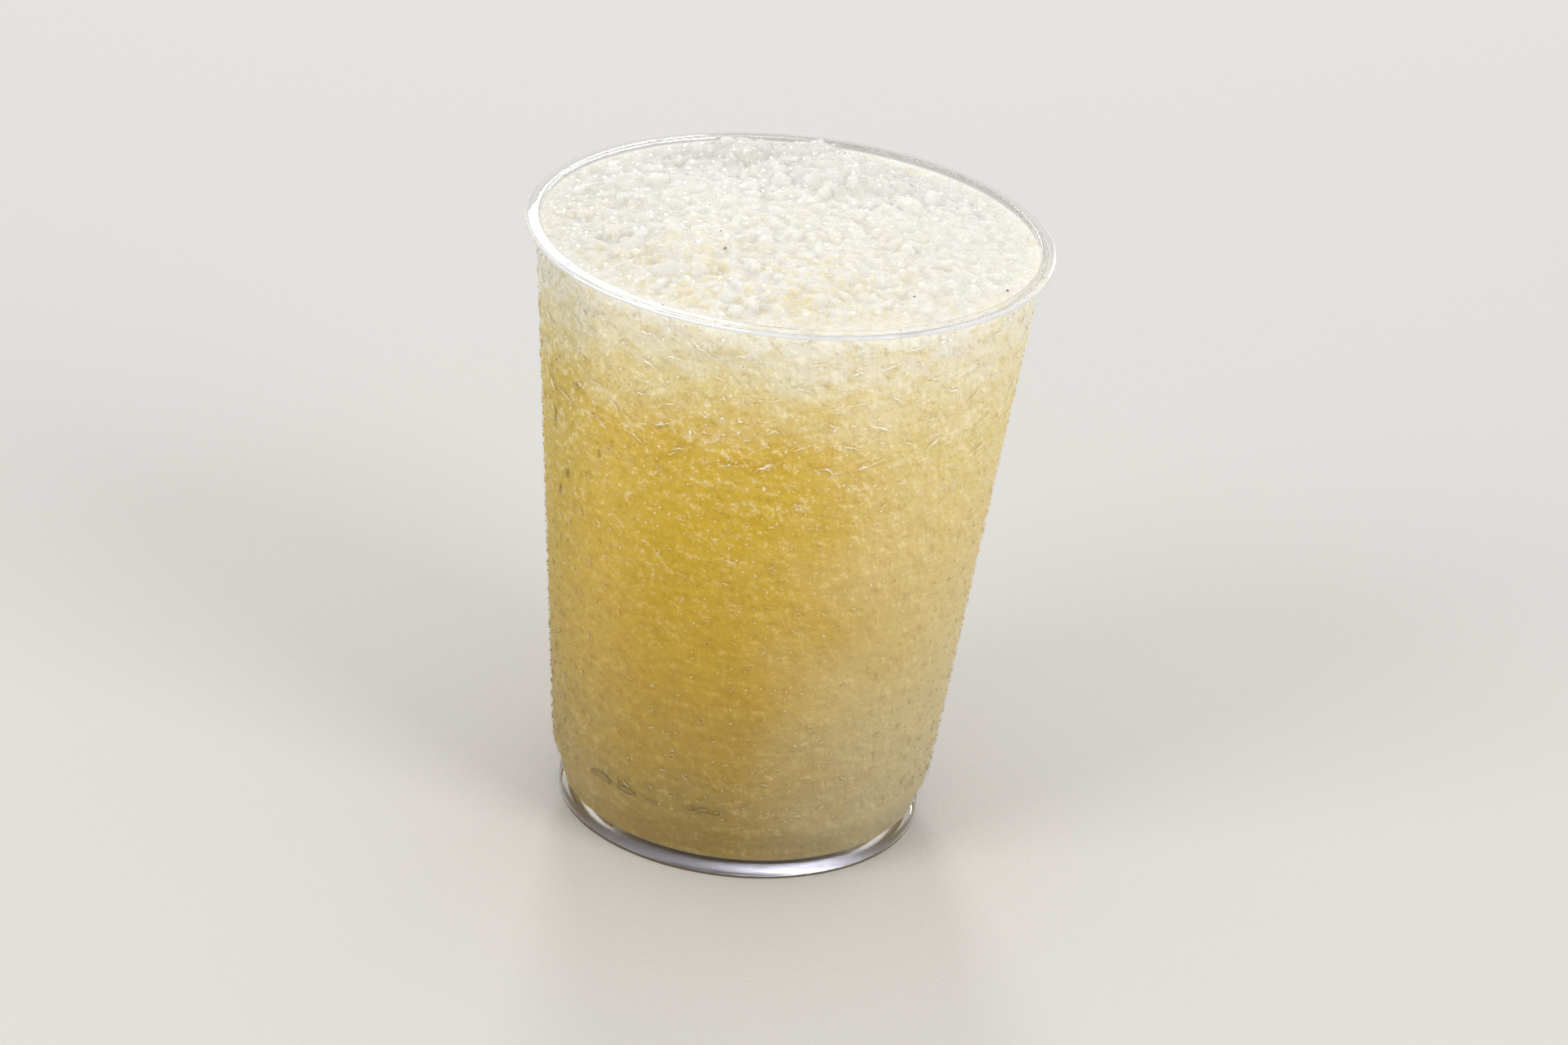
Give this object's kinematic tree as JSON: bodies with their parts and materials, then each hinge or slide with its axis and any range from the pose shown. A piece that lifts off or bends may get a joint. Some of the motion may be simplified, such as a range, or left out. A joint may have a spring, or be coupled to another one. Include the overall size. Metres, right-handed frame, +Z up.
{
  "type": "frozen slush drink",
  "caption": "Pale yellow frozen slush that fills a clear plastic tumbler level with its flat lip, with an uneven icy top.",
  "frame": {"origin": "centre of the tumbler's foot ring, on the surface that it stands on", "axes": "+Z up along the tumbler's axis; -Y faces the viewer of the picture, +X is the viewer's right"},
  "size_m": [0.075, 0.075, 0.0935],
  "materials": {
    "clear_plastic": "clear colourless hard plastic, smooth and glossy",
    "slush_ice": "wet crushed ice, pale yellow, whiter at the top and darker towards the foot"
  },
  "bodies": {
    "root": {"cup": "clear_plastic", "slush": "slush_ice"}
  },
  "joints": []
}
